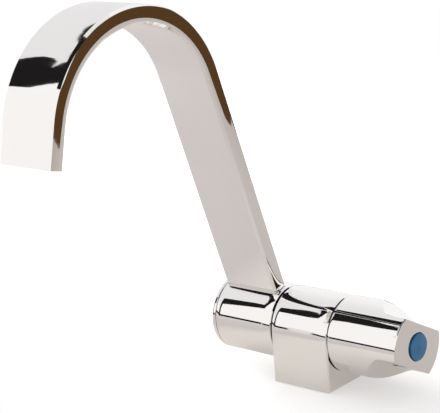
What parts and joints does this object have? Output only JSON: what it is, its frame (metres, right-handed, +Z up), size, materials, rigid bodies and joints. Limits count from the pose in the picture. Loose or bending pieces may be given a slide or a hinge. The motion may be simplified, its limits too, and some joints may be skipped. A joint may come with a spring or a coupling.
{
  "type": "folding caravan tap",
  "caption": "Chromed cold-water tap on a square base, with a flat arched spout that folds down about a horizontal axis and a quarter-turn knob at its end.",
  "frame": {"origin": "centre of the base's underside, at the mouth of the threaded inlet", "axes": "+Z up from the worktop; X along the common axis of hub, valve and knob, with the knob at +X; the spout reaches towards -Y"},
  "size_m": [0.1083, 0.1604, 0.1892],
  "materials": {
    "chrome": "polished",
    "brass": "machined",
    "steel": "zinc plated",
    "rubber": "matt",
    "black_plastic": "matt",
    "grey_plastic": "matt",
    "ceramic": "lapped",
    "cold_blue": "gloss"
  },
  "bodies": {
    "base": {"body": "chrome", "base_gasket": "rubber", "pivot_spigot": "brass", "flange_seal": "rubber", "spigot_o_rings": "rubber", "pivot_washer": "black_plastic", "end_washer": "black_plastic", "retaining_plate": "steel", "retaining_screw": "steel", "cartridge_body": "brass", "cartridge_o_ring": "rubber", "cartridge_seal": "rubber", "fixed_disc": "ceramic"},
    "spout": {"spout_hub": "chrome", "spout_tube": "chrome", "hub_end_cap": "chrome", "outlet_insert": "grey_plastic"},
    "handle": {"knob": "chrome", "index_cap": "cold_blue", "knob_screw": "steel", "spindle": "brass", "spindle_o_rings": "rubber", "spindle_clip": "steel", "moving_disc": "ceramic"}
  },
  "joints": [
    {"name": "spout_fold", "type": "hinge", "parent": "base", "child": "spout", "pos_m": [-0.03375, 0, 0.024], "axis": [1, 0, 0], "range_deg": [0, 90]},
    {"name": "knob_turn", "type": "hinge", "parent": "base", "child": "handle", "pos_m": [0.0353, 0, 0.024], "axis": [1, 0, 0], "range_deg": [0, 90]}
  ]
}
